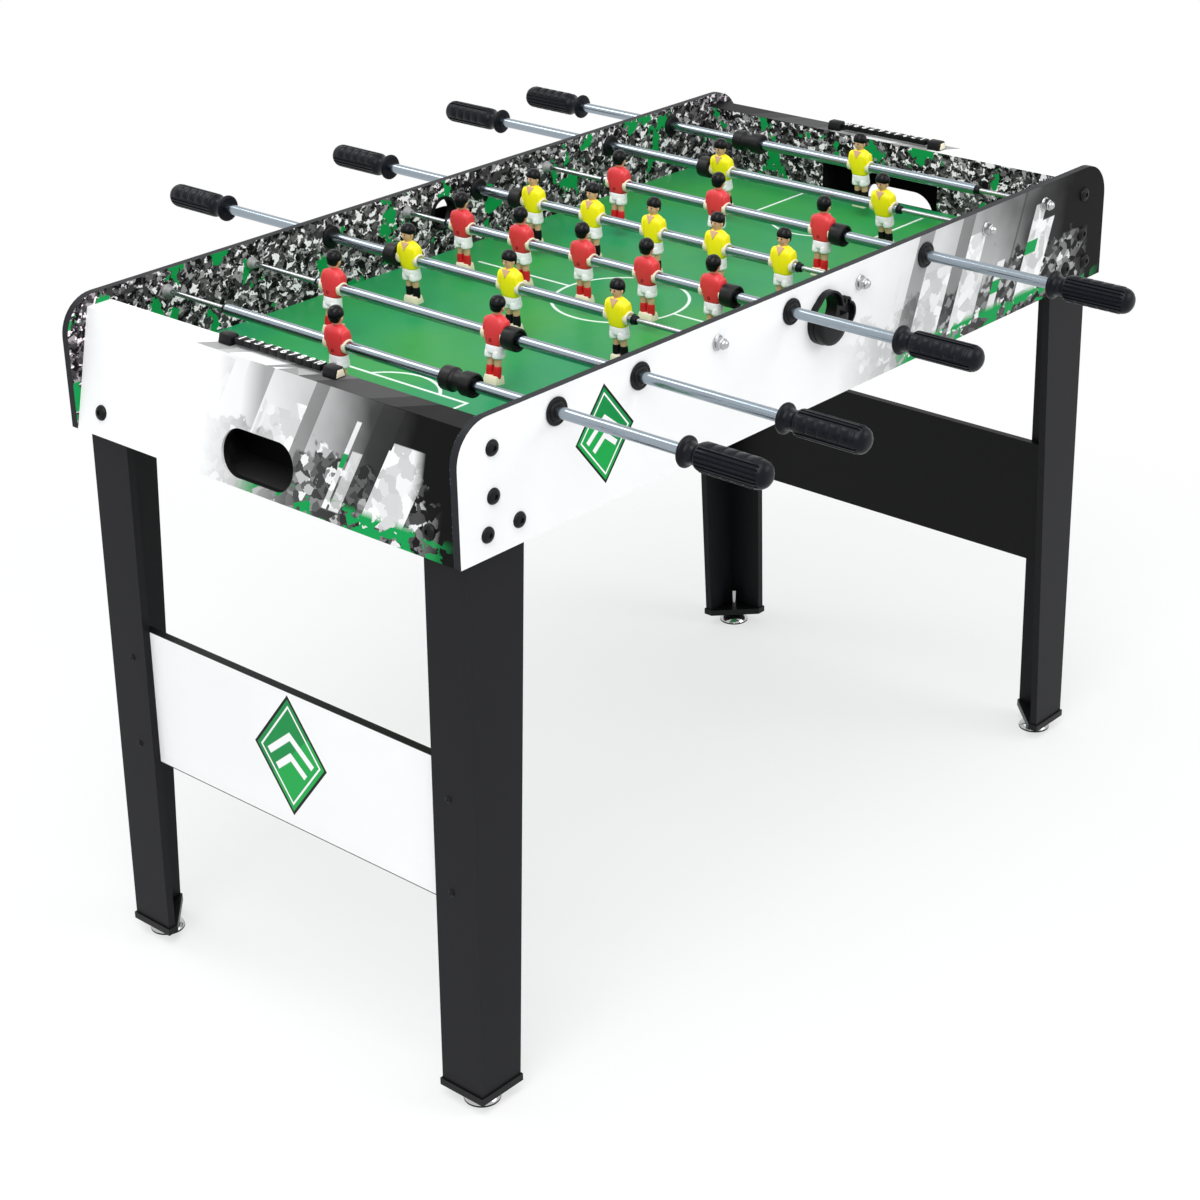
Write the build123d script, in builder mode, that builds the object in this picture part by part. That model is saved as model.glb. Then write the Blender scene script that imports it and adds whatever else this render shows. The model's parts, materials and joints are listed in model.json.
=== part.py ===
from build123d import *
import math
import os

os.makedirs("parts", exist_ok=True)

# Cabinet
length = 1200
width = 620
top_z = 828
side_h = 152
board = 10
corner_r = 45
end_lean = 31
end_drop = 14
end_top_w = 34
goal_board = 5
goal_w = 190
goal_h = 40
goal_sill = 1
pitch_drop = 94.5
pitch_t = 6
return_w = 114
return_h = 54
return_drop = 116

# Ball trays behind the goals
tray_wall = 3
tray_over = 8
tray_bend_r = 40

# Ball entry cups, one through each side panel
entry_r = 19
entry_drop = 42
cup_wall = 3
cup_in = 3
cup_floor = 2
cup_rim_h = 8
cup_rim_t = 2.5
cup_rim_r = 25
cup_low_r = 28
cup_low_drop = 9
cup_low_over = 6
cup_side_r = 15
cup_side_drop = 10
cup_side_over = 33
cup_ear_r = 5
cup_ear_up = 5
cup_ear_over = 33

# Legs
leg_gap = 18.5
leg_x_w = 62
leg_y_top_w = 84
leg_y_low_w = 62
leg_low_z = 18
leg_up = 36
leg_splay = 0.02
brace_low_z = 254
brace_top_z = 428
cap_floor = 3
cap_rim_h = 6
cap_lip = 2
loose = 0.2
foot_r = 21.5
foot_pad = 2
dome_top_r = 7
dome_h = 11
foot_in = 26
stud_r = 4
stud_h = 46

# Rods, counted from the near end of the photograph
rod_drop = 25
end_room = 80
fit = 0.05
tube_r = 6.5
tube_bore_r = 4.7
inner_r = 3
inner_tip = 120
man_h = 99
man_half = 17
man_boss = 1.8
pair_gap = 130
three_gap = 165
five_gap = 100
stub = 5
goalie_stub = 165
goalie_stop = 147
pair_reach = 528
three_reach = 492
five_reach = 459
goalie_reach = 491
bush_r = 7.2
bush_reach = 6
bush_spigot = 14
bumper_r = 13.5
bumper_l = 18
bumper_cup_r = 10.5
bumper_cup = 3
stop_l = 44
stop_waist_r = 10.5
stop_waist_l = 12
grip_l = 105
grip_r = 15.5
grip_bore = 80
flange_r = 16.5
flange_t = 5
neck_r = 11
neck_l = 20
groove_n = 5
groove_turn = 22
groove_w = 2.4
groove_d = 1.6
pad_n = 5
grip_end_r = 9
grip_end_l = 9
barrel_r = 9.5
bushing_r = 15.5
bushing_rim = 3
bushing_hub_r = 11
bushing_out = 5
bushing_in_r = 14
bushing_in = 4
collar_r = 9.5
collar_t = 3
collar_boss_r = 6
collar_l = 10
nut_r = 7.5
nut_l = 9

# Scorers on the rails at both ends
score_l = 185
post_l = 21
post_w = 25
post_h = 12
post_round = 9
bar_w = 4
bar_up = 6
bead_n = 10
bead_slack = 8
bead_w = 12
bead_h = 9
bead_gap = 0.2

half_l = length / 2
inside_y = width / 2 - board
low_z = top_z - side_h
end_z = top_z - end_drop
pitch_z = top_z - pitch_drop
return_z = top_z - return_drop
entry_z = top_z - entry_drop
rod_z = top_z - rod_drop
goal_x = half_l - end_lean - end_top_w
lean = end_lean / (end_z - low_z)
skin = board * math.sqrt(1 + lean**2)

# Each kind of rod: where its men stand, bare tube past the last man, man to stop, handle's reach
kinds = {
    "goalie": ([0], goalie_stub, goalie_stop, goalie_reach),
    "pair": ([-pair_gap, pair_gap], stub, 0, pair_reach),
    "three": ([-three_gap, 0, three_gap], stub, 0, three_reach),
    "five": ([step * five_gap for step in (-2, -1, 0, 1, 2)], stub, 0, five_reach),
}

# Each rod's name, kind, handle side (-1 front, 1 rear), place along its travel and spin at rest
rods = [
    ("red_goalie", "goalie", -1, -11, 0),
    ("red_defence", "pair", -1, -27, -8),
    ("yellow_attack", "three", 1, -3, -3),
    ("red_midfield", "five", -1, -1, 0),
    ("yellow_midfield", "five", 1, 1, 0),
    ("red_attack", "three", -1, -6, -4),
    ("yellow_defence", "pair", 1, -27, -8),
    ("yellow_goalie", "goalie", 1, -26, -5),
]
rod_pitch = 2 * (goal_x - end_room) / (len(rods) - 1)


def rod_x(index):
    return (index - (len(rods) - 1) / 2) * rod_pitch


def rod_plane(index, along):
    """Local X is the way the men face, local Y is up and local Z runs out towards the handle."""
    side = rods[index][2]
    return Plane((rod_x(index), side * along, rod_z), x_dir=(-side, 0, 0), z_dir=(0, side, 0))


def save(builder, label):
    builder.part.label = label
    export_step(builder.part, f"parts/{label}.step")


# Side panels: each carries the bushings of the rods whose handles are on its side
for label, side in (("front_side_panel", -1), ("rear_side_panel", 1)):
    with BuildPart() as panel:
        with BuildSketch(Plane((0, side * inside_y, 0), x_dir=(-side, 0, 0), z_dir=(0, side, 0))) as outline:
            with Locations((0, low_z)):
                Rectangle(length, side_h, align=(Align.CENTER, Align.MIN))
            fillet(outline.vertices().group_by(Axis.Y)[-1], corner_r)
            with Locations((0, entry_z)):
                Circle(entry_r + cup_wall + fit, mode=Mode.SUBTRACT)
            for index, rod in enumerate(rods):
                with Locations((-side * rod_x(index), rod_z)):
                    Circle((barrel_r if rod[2] == side else inner_r) + fit, mode=Mode.SUBTRACT)
        extrude(amount=board)
    save(panel, label)

# End panels: a leaning board folded over into the rail on top
with BuildPart() as end_panels:
    for sign in (-1, 1):
        with BuildSketch(Plane.XZ.offset(-inside_y)):
            with BuildLine():
                Polyline(
                    (sign * half_l, low_z),
                    (sign * (half_l - end_lean), end_z),
                    (sign * goal_x, end_z),
                    (sign * goal_x, end_z - board),
                    (sign * (half_l - end_lean - skin + lean * board), end_z - board),
                    (sign * (half_l - skin), low_z),
                    close=True,
                )
            make_face()
        extrude(amount=2 * inside_y)
        with BuildSketch(Plane((sign * half_l, 0, return_z), x_dir=(0, 1, 0), z_dir=(sign, 0, 0))):
            SlotOverall(return_w, return_h)
        extrude(amount=-end_lean - 2 * board, mode=Mode.SUBTRACT)
save(end_panels, "end_panels")

# Goal walls, notched for the tops of the legs
with BuildPart() as goal_walls:
    for sign in (-1, 1):
        with BuildSketch(Plane.YZ.offset(sign * goal_x)):
            with Locations((0, low_z)):
                Rectangle(2 * inside_y, end_z - board - low_z, align=(Align.CENTER, Align.MIN))
            with Locations((0, pitch_z - goal_sill)):
                Rectangle(goal_w, goal_h, align=(Align.CENTER, Align.MIN), mode=Mode.SUBTRACT)
            with Locations((-inside_y, low_z), (inside_y, low_z)):
                Rectangle(2 * board + 2, 2 * leg_up + 2, mode=Mode.SUBTRACT)
        extrude(amount=sign * goal_board)
save(goal_walls, "goal_walls")

# Playing field
with BuildPart() as playfield:
    with BuildSketch(Plane.XY.offset(pitch_z)):
        Rectangle(2 * goal_x, 2 * inside_y)
    extrude(amount=-pitch_t)
save(playfield, "playfield")

# Ball trays: a trough that fills the space between each goal wall and its end panel
tray_w = goal_w + 2 * tray_over
tray_z = return_z - return_h / 2
tray_top = pitch_z + goal_h
with BuildPart() as ball_trays:
    for sign in (-1, 1):
        with BuildSketch(Plane.YZ.offset(sign * (goal_x + goal_board))) as trough:
            for wall, mode in ((tray_wall, Mode.ADD), (0, Mode.SUBTRACT)):
                with BuildSketch(mode=Mode.PRIVATE) as shape:
                    with Locations((0, tray_z - wall)):
                        Rectangle(tray_w + 2 * wall, tray_top - tray_z + wall, align=(Align.CENTER, Align.MIN))
                    fillet(shape.vertices().group_by(Axis.Y)[0], tray_bend_r + wall)
                add(shape.sketch, mode=mode)
        extrude(amount=sign * (half_l - goal_x))
    with BuildSketch(Plane.XZ.offset(-inside_y)):
        for sign in (-1, 1):
            with BuildLine():
                Polyline(
                    (sign * (goal_x + goal_board), low_z),
                    (sign * (half_l - skin), low_z),
                    (sign * (half_l - skin - lean * (end_z - board - low_z)), end_z - board),
                    (sign * (goal_x + goal_board), end_z - board),
                    close=True,
                )
            make_face()
    extrude(amount=2 * inside_y, mode=Mode.INTERSECT)
save(ball_trays, "ball_trays")

# Ball entry cups: a sleeve through the panel, and outside it a lobed dish that takes the ball
with BuildPart() as entry_cups:
    for side in (-1, 1):
        wall = Plane((0, side * (inside_y + board), entry_z), x_dir=(-side, 0, 0), z_dir=(0, side, 0))
        with BuildSketch(wall) as dish:
            Circle(cup_rim_r)
            with Locations((-cup_low_over, -cup_low_drop)):
                Circle(cup_low_r)
            with Locations((cup_side_over, -cup_side_drop)):
                Circle(cup_side_r)
            with Locations((cup_ear_over, cup_ear_up)):
                Circle(cup_ear_r)
        extrude(amount=cup_rim_h)
        with BuildSketch(wall.offset(cup_floor)):
            offset(dish.sketch_local, amount=-cup_rim_t)
        extrude(amount=cup_rim_h, mode=Mode.SUBTRACT)
        with BuildSketch(wall):
            Circle(entry_r + cup_wall)
        extrude(amount=-board - cup_in)
        with BuildSketch(wall.offset(cup_floor)):
            Circle(entry_r)
        extrude(amount=-cup_floor - board - cup_in, mode=Mode.SUBTRACT)
save(entry_cups, "ball_entry_cups")

# Legs: two boards folded to an angle, splayed a little along the table
corner_x = half_l - leg_gap
low_x = corner_x + leg_splay * (low_z - leg_low_z)
up_z = low_z + leg_up
up_x = corner_x - leg_splay * leg_up
with BuildPart() as legs:
    with BuildSketch(Plane.XZ.offset(-inside_y)):
        with BuildLine():
            Polyline(
                (-low_x, leg_low_z),
                (-up_x, up_z),
                (-corner_x + leg_y_top_w, up_z),
                (-corner_x + leg_y_top_w, low_z),
                (-low_x + leg_y_low_w, leg_low_z),
                close=True,
            )
        make_face()
    extrude(amount=board)
    with BuildSketch(Plane.XZ.offset(-inside_y)):
        with BuildLine():
            Polyline(
                (-low_x, leg_low_z),
                (-up_x, up_z),
                (-up_x + board, up_z),
                (-low_x + board, leg_low_z),
                close=True,
            )
        make_face()
    extrude(amount=leg_x_w)
    mirror(about=Plane.XZ)
    mirror(about=Plane.YZ)
save(legs, "legs")

# Leg braces: a board across each end, screwed to the inside of the legs
with BuildPart() as braces:
    with BuildSketch(Plane.XZ.offset(-inside_y + board)):
        with BuildLine():
            low = corner_x + leg_splay * (low_z - brace_low_z) - board
            top = corner_x + leg_splay * (low_z - brace_top_z) - board
            Polyline(
                (-low, brace_low_z),
                (-top, brace_top_z),
                (-top + board, brace_top_z),
                (-low + board, brace_low_z),
                close=True,
            )
        make_face()
    extrude(amount=2 * (inside_y - board))
    mirror(about=Plane.YZ)
save(braces, "leg_braces")

# Leg caps: a shoe with a rim outside the boards and a filled corner inside them
with BuildPart() as caps:
    with BuildSketch(Plane.XY.offset(leg_low_z - cap_floor)):
        with BuildLine():
            Polyline(
                (-low_x - cap_lip, -inside_y - cap_lip),
                (-low_x + leg_y_low_w + cap_lip, -inside_y - cap_lip),
                (-low_x + leg_y_low_w + cap_lip, -inside_y + board + cap_lip),
                (-low_x + board + cap_lip, -inside_y + leg_x_w + cap_lip),
                (-low_x - cap_lip, -inside_y + leg_x_w + cap_lip),
                close=True,
            )
        make_face()
    extrude(amount=cap_floor + cap_rim_h)
    with BuildSketch(Plane.XY.offset(leg_low_z)):
        with Locations((-low_x - loose, -inside_y - loose)):
            Rectangle(leg_y_low_w + 4 * loose, board + 2 * loose, align=Align.MIN)
            Rectangle(board + 2 * loose, leg_x_w + 2 * loose, align=Align.MIN)
    extrude(amount=cap_rim_h, mode=Mode.SUBTRACT)
    with BuildSketch(Plane.XY):
        with Locations((-low_x + foot_in, -inside_y + foot_in)):
            Circle(stud_r + fit)
    extrude(amount=leg_low_z + cap_rim_h, mode=Mode.SUBTRACT)
    mirror(about=Plane.XZ)
    mirror(about=Plane.YZ)
save(caps, "leg_caps")

# Levelling feet: a domed foot on a stud through each cap
with BuildPart() as foot:
    with BuildSketch(Plane.XZ):
        with BuildLine():
            Polyline(
                (0, 0),
                (foot_r, 0),
                (foot_r, foot_pad),
                (dome_top_r, foot_pad + dome_h),
                (stud_r, foot_pad + dome_h),
                (stud_r, foot_pad + dome_h + stud_h),
                (0, foot_pad + dome_h + stud_h),
                close=True,
            )
        make_face()
    revolve(axis=Axis.Z)
for label, sx, sy in (("near_left", -1, 1), ("near_right", -1, -1), ("far_left", 1, 1), ("far_right", 1, -1)):
    with BuildPart() as placed:
        with Locations((sx * (low_x - foot_in), sy * (inside_y - foot_in), 0)):
            add(foot.part)
    save(placed, f"foot_{label}")

# Wall bushings
with BuildPart() as bushing:
    with BuildSketch(Plane.XZ):
        with BuildLine():
            Polyline(
                (tube_r + fit, -bushing_in),
                (bushing_in_r, -bushing_in),
                (bushing_in_r, 0),
                (barrel_r, 0),
                (barrel_r, board),
                (bushing_r, board),
                (bushing_r, board + bushing_rim),
                (bushing_hub_r, board + bushing_rim),
                (bushing_hub_r, board + bushing_out),
                (tube_r + fit, board + bushing_out),
                close=True,
            )
        make_face()
    revolve(axis=Axis.Z)
with BuildPart() as bushings:
    for index in range(len(rods)):
        with Locations(rod_plane(index, inside_y)):
            add(bushing.part)
save(bushings, "wall_bushings")

# Inner rods, each bolted to the wall across from its handle by a collar and a nut
with BuildPart() as inner_rod:
    Cylinder(inner_r, inside_y + inner_tip, align=(Align.CENTER, Align.CENTER, Align.MIN))
    Cylinder(inner_r, board + nut_l / 2, align=(Align.CENTER, Align.CENTER, Align.MAX))
    Cylinder(collar_r, collar_t, align=(Align.CENTER, Align.CENTER, Align.MIN))
    Cylinder(collar_boss_r, collar_l, align=(Align.CENTER, Align.CENTER, Align.MIN))
    with BuildSketch(Plane.XY.offset(-board)):
        RegularPolygon(nut_r, 6)
    extrude(amount=-nut_l)
with BuildPart() as inner_rods:
    for index in range(len(rods)):
        with Locations(rod_plane(index, -inside_y)):
            add(inner_rod.part)
save(inner_rods, "inner_rods")

# A man on the rod's axis, facing along X, lofted through chamfered sections: (height, depth, width)
unit = man_h / 99
across = man_half / 17
head = [(22.5, 7.5, 8), (27, 13.5, 13), (35, 17, 16.5), (43, 8, 8)]
shirt = [(-12, 17, 24), (2, 19, 32), (15, 17.5, 30), (22.5, 9, 11)]
shorts = [(-26, 17.5, 25), (-11, 16.5, 23.5)]
leg = [(-50, 9.5, 9.5), (-25, 8.5, 8.5)]
boots = [(-56, 18, 21.5), (-51.5, 18, 21.5), (-46.5, 13, 19)]
with BuildPart() as figure:
    for form, middle in ((head, 0), (shirt, 0), (shorts, 0), (leg, -5.6), (leg, 5.6), (boots, 0)):
        for height, depth, breadth in form:
            with BuildSketch(Plane((0, height * unit, 0), (1, 0, 0), (0, 1, 0))) as section:
                with Locations((0, middle * across)):
                    Rectangle(depth * unit, breadth * across)
                chamfer(section.vertices(), depth * unit / 4)
        loft(ruled=True)
    Cylinder(tube_r + man_boss, 2 * man_half)
    Cylinder(tube_r + fit, 4 * man_half, mode=Mode.SUBTRACT)

# Handle, from its flange outwards: grooves along two sides of the grip, pads on the other two
on_base = (Align.CENTER, Align.CENTER, Align.MIN)
pads_l = grip_l - grip_end_l - neck_l
with BuildPart() as handle:
    Cylinder(flange_r, flange_t, align=on_base)
    Cylinder(neck_r, neck_l, align=on_base)
    with BuildSketch(Plane.XY.offset(neck_l)):
        Circle(grip_r)
        for middle in (90, 270):
            first = middle - (groove_n - 1) / 2 * groove_turn
            with PolarLocations(grip_r, groove_n, first, groove_n * groove_turn):
                Rectangle(2 * groove_d, groove_w, mode=Mode.SUBTRACT)
    extrude(amount=pads_l)
    for pad in range(1, pad_n):
        with Locations((-grip_r, 0, neck_l + pad * pads_l / pad_n), (grip_r, 0, neck_l + pad * pads_l / pad_n)):
            Box(2 * groove_d, 2 * grip_r, groove_w, mode=Mode.SUBTRACT)
    with Locations((0, 0, neck_l + pads_l)):
        Cone(grip_r - groove_d, grip_end_r, grip_end_l, align=on_base)
    Cylinder(tube_r + fit, grip_bore, align=on_base, mode=Mode.SUBTRACT)

# Rubber bumper beside the last man, hollow at the end towards the wall
with BuildPart() as bumper:
    Cylinder(bumper_r, bumper_l)
    with Locations((0, 0, bumper_l / 2)):
        Cylinder(bumper_cup_r, 2 * bumper_cup, mode=Mode.SUBTRACT)
    Cylinder(tube_r + fit, bumper_l, mode=Mode.SUBTRACT)

# Longer stop on the goalkeepers' rods, with a waist
with BuildPart() as stop:
    Cylinder(bumper_r, stop_l)
    with BuildSketch(Plane.XY.offset(-stop_waist_l / 2)):
        Circle(bumper_r)
        Circle(stop_waist_r, mode=Mode.SUBTRACT)
    extrude(amount=stop_waist_l, mode=Mode.SUBTRACT)
    with Locations((0, 0, stop_l / 2)):
        Cylinder(bumper_cup_r, 2 * bumper_cup, mode=Mode.SUBTRACT)
    Cylinder(tube_r + fit, stop_l, mode=Mode.SUBTRACT)

# End bush that the tube turns on and the inner rod slides through
with BuildPart() as bush:
    with BuildSketch(Plane.XZ):
        with BuildLine():
            Polyline(
                (inner_r + fit, -bush_reach),
                (bush_r, -bush_reach),
                (bush_r, 0),
                (tube_bore_r - fit, 0),
                (tube_bore_r - fit, bush_spigot),
                (inner_r + fit, bush_spigot),
                close=True,
            )
        make_face()
    revolve(axis=Axis.Z)

# Rod sets: tube, handle, men, bumper and end bush
for index, (label, kind, side, place, spin) in enumerate(rods):
    men_at, bare, gap, flange_at = kinds[kind]
    rubber, rubber_l = (stop, stop_l) if kind == "goalie" else (bumper, bumper_l)
    tube_end = men_at[0] - man_half - bare
    stop_at = men_at[-1] + man_half + gap + rubber_l / 2
    with BuildPart() as tube:
        with BuildSketch(rod_plane(index, place + tube_end)):
            Circle(tube_r)
            Circle(tube_bore_r, mode=Mode.SUBTRACT)
        extrude(amount=flange_at + grip_bore - tube_end)
    save(tube, f"{label}_tube")
    with BuildPart() as grip:
        with Locations(rod_plane(index, place + flange_at)):
            add(handle.part)
    save(grip, f"{label}_handle")
    with BuildPart() as men:
        for at in men_at:
            with Locations(rod_plane(index, place + at).location * Rot(0, 0, spin)):
                add(figure.part)
    save(men, f"{label}_men")
    with BuildPart() as buffer:
        with Locations(rod_plane(index, place + stop_at)):
            add(rubber.part)
    save(buffer, f"{label}_bumper")
    with BuildPart() as end_bush:
        with Locations(rod_plane(index, place + tube_end)):
            add(bush.part)
    save(end_bush, f"{label}_end_bush")

# Scorers: two posts and a bar on each end rail, with a row of beads
rail_x = goal_x + post_w / 2
bar_z = end_z + bar_up
bead_l = (score_l - 2 * post_l - bead_slack) / bead_n
with BuildPart() as score_frames:
    for sign in (-1, 1):
        for end in (-1, 1):
            with BuildSketch(Plane.XZ.offset(-end * score_l / 2)) as post:
                with Locations((sign * rail_x, end_z)):
                    Rectangle(post_w, post_h, align=(Align.CENTER, Align.MIN))
                fillet(post.vertices().group_by(Axis.Y)[-1], post_round)
            extrude(amount=end * post_l)
        with BuildSketch(Plane.XZ.offset(-score_l / 2)):
            with Locations((sign * rail_x, bar_z)):
                Rectangle(bar_w, bar_w)
        extrude(amount=score_l)
save(score_frames, "score_frames")

for label, sign in (("near", -1), ("far", 1)):
    with BuildPart() as beads:
        for number in range(bead_n):
            start = (number - bead_n / 2) * bead_l
            with BuildSketch(Plane.XZ.offset(-start - bead_l + bead_gap)) as bead:
                with Locations((sign * rail_x, bar_z)):
                    Rectangle(bead_w, bead_h)
                    Rectangle(bar_w + 2 * loose, bar_w + 2 * loose, mode=Mode.SUBTRACT)
            extrude(amount=bead_l - bead_gap)
    save(beads, f"{label}_score_beads")
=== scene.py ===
import bpy
import json
import math
from mathutils import Matrix, Vector

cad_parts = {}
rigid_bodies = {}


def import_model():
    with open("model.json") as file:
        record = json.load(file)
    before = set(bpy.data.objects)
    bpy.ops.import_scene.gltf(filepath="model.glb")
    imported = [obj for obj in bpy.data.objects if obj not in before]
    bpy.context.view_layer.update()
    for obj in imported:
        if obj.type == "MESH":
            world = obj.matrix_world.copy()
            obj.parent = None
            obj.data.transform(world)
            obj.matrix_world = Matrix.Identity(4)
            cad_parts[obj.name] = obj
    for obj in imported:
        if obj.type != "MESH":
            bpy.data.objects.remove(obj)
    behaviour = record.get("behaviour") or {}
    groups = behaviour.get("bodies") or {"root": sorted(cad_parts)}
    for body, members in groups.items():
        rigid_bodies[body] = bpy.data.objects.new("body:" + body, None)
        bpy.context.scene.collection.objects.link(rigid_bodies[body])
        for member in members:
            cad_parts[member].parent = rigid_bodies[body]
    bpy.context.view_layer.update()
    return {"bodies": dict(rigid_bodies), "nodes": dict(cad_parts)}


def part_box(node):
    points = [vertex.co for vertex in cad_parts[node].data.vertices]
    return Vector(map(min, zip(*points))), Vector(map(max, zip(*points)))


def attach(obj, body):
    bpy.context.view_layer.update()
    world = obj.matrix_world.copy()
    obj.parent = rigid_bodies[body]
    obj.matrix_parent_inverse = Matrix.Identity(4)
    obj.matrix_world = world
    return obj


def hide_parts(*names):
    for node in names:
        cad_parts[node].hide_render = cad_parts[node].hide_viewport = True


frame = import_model()
nodes = frame["nodes"]
bpy.ops.object.select_all(action="DESELECT")

# Sizes in metres
MM = 0.001
LENGTH, WIDTH, BOARD = 1200 * MM, 620 * MM, 10 * MM
END_WIDTH = 600 * MM
SIDE_LOW, SIDE_TOP = (v.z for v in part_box("front_side_panel"))
END_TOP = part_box("end_panels")[1].z
GOAL_X = 535 * MM

# Sizes in millimetres
HALF_LENGTH = 600
WALL_IN, WALL_OUT = 300, 310
LOW_Z, ROD_Z = 676, 803
MAN_HALF = 17
BUSH_REACH = 6

# The end panels lean in towards the top, and the legs spread towards the floor
END_LEAN = 31 / 138
LEG_SPLAY = 0.02

MEN_ON = {"goalie": 1, "defence": 2, "attack": 3, "midfield": 5}
RODS = [body[: -len("_rod")] for body in frame["bodies"] if body.endswith("_rod")]


# Materials


class Val:
    """A socket of a material, with arithmetic that adds Math nodes."""

    def __init__(self, tree, socket):
        self.tree = tree
        self.socket = socket

    def math(self, operation, *others, clamp=False):
        n = self.tree.nodes.new("ShaderNodeMath")
        n.operation = operation
        n.use_clamp = clamp
        for slot, value in zip(n.inputs, (self, *others)):
            plug(self.tree, slot, value)
        return Val(self.tree, n.outputs[0])

    def __add__(self, other):
        return self.math("ADD", other)

    def __sub__(self, other):
        return self.math("SUBTRACT", other)

    def __rsub__(self, other):
        return (-self).math("ADD", other)

    def __mul__(self, other):
        return self.math("MULTIPLY", other)

    def __truediv__(self, other):
        return self.math("DIVIDE", other)

    def __neg__(self):
        return self.math("MULTIPLY", -1)

    def abs(self):
        return self.math("ABSOLUTE")

    def most(self, other):
        return self.math("MAXIMUM", other)

    def over(self, edge, soft):
        """0 below the edge and 1 above it, over a soft step."""
        return ((self - edge) / (2 * soft)).math("ADD", 0.5, clamp=True)

    def under(self, edge, soft):
        return 1 - self.over(edge, soft)

    def between(self, low, high, soft):
        return self.over(low, soft) * self.under(high, soft)


def plug(tree, socket, value):
    if isinstance(value, Val):
        tree.links.new(value.socket, socket)
    elif socket.type == "RGBA":
        socket.default_value = (*value, 1)
    else:
        socket.default_value = value


# The Mix node has several sockets of one name, so its colours go by number
MIX_UNDER, MIX_OVER, MIX_RESULT = 6, 7, 2
GRAIN_DEPTH = 0.0002


class Paint:
    """A Principled material whose patterns read Object coordinates, in metres."""

    def __init__(self, name, shine=0.5):
        self.material = bpy.data.materials.new(name)
        self.material.use_nodes = True
        self.tree = self.material.node_tree
        self.shader = self.tree.nodes["Principled BSDF"]
        self.shader.inputs["Specular IOR Level"].default_value = shine
        place = self.tree.nodes.new("ShaderNodeTexCoord")
        split = self.tree.nodes.new("ShaderNodeSeparateXYZ")
        self.tree.links.new(place.outputs["Object"], split.inputs[0])
        self.x, self.y, self.z = (Val(self.tree, s) for s in split.outputs)

    def node(self, kind, output=0, **inputs):
        n = self.tree.nodes.new(kind)
        for key, value in inputs.items():
            plug(self.tree, n.inputs[key], value)
        return Val(self.tree, n.outputs[output])

    def vector(self, x, y, z):
        return self.node("ShaderNodeCombineXYZ", X=x, Y=y, Z=z)

    def noise(self, scale, detail=2.0, rough=0.5, at=None, shift=0.0):
        x, y, z = at or (self.x, self.y, self.z)
        place = self.vector(x + shift, y, z)
        return self.node("ShaderNodeTexNoise", Vector=place, Scale=scale, Detail=detail, Roughness=rough)

    def cells(self, scale, at, shift=0.0):
        """A number from 0 to 1 for each cell of an uneven mosaic."""
        x, y, z = at
        tint = self.node("ShaderNodeTexVoronoi", "Color", Vector=self.vector(x + shift, y, z), Scale=scale)
        return self.node("ShaderNodeSeparateColor", Color=tint)

    def ramp(self, value, stops, steps=False):
        """A grey or colour for each value: stops are (value, (r, g, b))."""
        n = self.tree.nodes.new("ShaderNodeValToRGB")
        band = n.color_ramp
        band.interpolation = "CONSTANT" if steps else "LINEAR"
        while len(band.elements) < len(stops):
            band.elements.new(0.5)
        for mark, (place, color) in zip(band.elements, stops):
            mark.position = place
            mark.color = (*color, 1)
        plug(self.tree, n.inputs[0], value)
        return Val(self.tree, n.outputs[0])

    def mix(self, factor, under, over):
        n = self.tree.nodes.new("ShaderNodeMix")
        n.data_type = "RGBA"
        plug(self.tree, n.inputs["Factor"], factor)
        plug(self.tree, n.inputs[MIX_UNDER], under)
        plug(self.tree, n.inputs[MIX_OVER], over)
        return Val(self.tree, n.outputs[MIX_RESULT])

    def set(self, **values):
        for key, value in values.items():
            plug(self.tree, self.shader.inputs[key.replace("_", " ")], value)
        return self

    def bump(self, height, strength):
        dent = self.node("ShaderNodeBump", Strength=strength, Distance=GRAIN_DEPTH, Height=height)
        return self.set(Normal=dent)


def grey(level):
    return (level, level, level)


def uneven(noise, middle, spread):
    """A roughness that wanders by the spread to either side of its middle."""
    return noise * (2 * spread) + (middle - spread)


def moulded(name, color, rough, spread=0.1, grain=180, bump=0.06, shine=0.5):
    """Plastic or rubber of one colour, a little uneven in tone and gloss, with a fine grain."""
    p = Paint(name, shine)
    fine = p.noise(grain, 3)
    tone = p.mix(fine, tuple(c * (1 - spread) for c in color), tuple(min(c * (1 + spread), 1) for c in color))
    p.set(Base_Color=tone, Roughness=uneven(fine, rough, 0.08))
    return p.bump(fine, bump).material


def foil(p, color, rough=0.4):
    """A printed foil on board: satin, with a faint ripple."""
    p.set(Base_Color=color, Roughness=uneven(p.noise(40, 2), rough, 0.05))
    return p.bump(p.noise(260, 2), 0.04).material


def plated(name, color, rough):
    """Drawn and plated metal, its fine lines along the rods."""
    p = Paint(name)
    drawn = p.noise(90, 3, 0.6, at=(p.x * 8, p.y * 0.08, p.z * 8))
    tone = p.mix(drawn, tuple(c * 0.88 for c in color), color)
    p.set(Base_Color=tone, Metallic=1.0, Roughness=uneven(drawn, rough, 0.025))
    return p.material


BLACK_BOARD = grey(0.006)
EDGE_BAND = (0.022, 0.023, 0.026)
PRINT_WHITE = grey(0.87)
PRINT_GREEN = (0.008, 0.3, 0.075)

# Camouflage: its ground, the tint of its greys, and for each layer its shift, least noise and grey
CAMO_GROUND = (0.052, 0.047, 0.051)
CAMO_TINT = (1.05, 0.94, 1.02)
CAMO_LAYERS = [(1, 0.5, 0.005), (2, 0.52, 0.13), (3, 0.53, 0.006), (4, 0.57, 0.34), (5, 0.575, 0.95)]

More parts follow.
